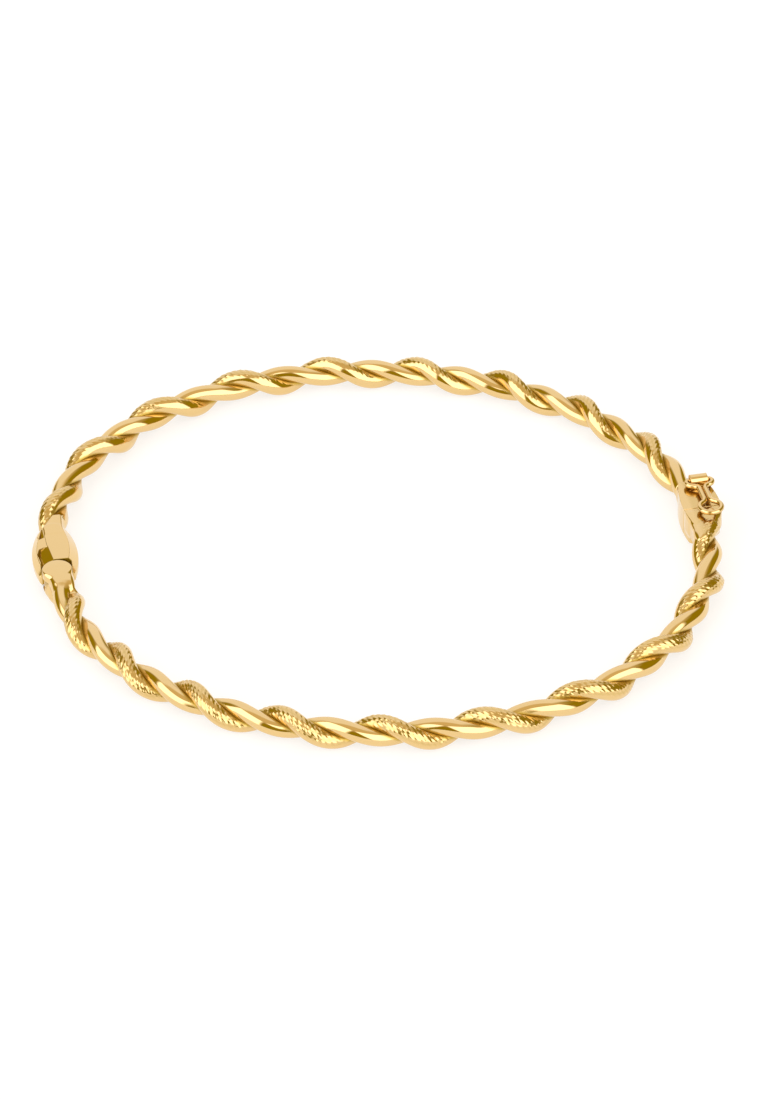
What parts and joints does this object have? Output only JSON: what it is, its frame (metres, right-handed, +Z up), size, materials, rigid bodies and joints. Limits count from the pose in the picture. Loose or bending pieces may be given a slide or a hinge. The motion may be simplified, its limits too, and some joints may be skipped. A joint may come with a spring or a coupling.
{
  "type": "hinged twisted wire bangle",
  "caption": "Oval hinged wrist bangle of a polished and a textured strand twisted together, closed by a box clasp with a safety catch.",
  "frame": {"origin": "middle of the wrist hollow, on the surface that the bangle lies on", "axes": "+X from the hinge to the clasp, +Z up out of the surface, -Y the front half"},
  "size_m": [0.0623, 0.0576, 0.0039],
  "materials": {
    "polished_gold": "polished yellow gold",
    "textured_gold": "yellow gold with small raised scales"
  },
  "bodies": {
    "back_half": {"plain_wire_back": "polished_gold", "textured_wire_back": "textured_gold", "hinge_housing": "polished_gold", "hinge_pin": "polished_gold", "clasp_box": "polished_gold"},
    "front_half": {"plain_wire_front": "polished_gold", "textured_wire_front": "textured_gold", "hinge_knuckle": "polished_gold", "clasp_tongue": "polished_gold"},
    "catch": {"safety_catch": "polished_gold"}
  },
  "joints": [
    {"name": "bangle_hinge", "type": "hinge", "parent": "back_half", "child": "front_half", "pos_m": [-0.02882, -0.00167, 0.00157], "axis": [0, 0, -1], "range_deg": [0, 35]},
    {"name": "catch_hinge", "type": "hinge", "parent": "back_half", "child": "catch", "pos_m": [0.02978, 0.00289, 0.00332], "axis": [-0.997, -0.0777, 0], "range_deg": [0, 110]}
  ]
}
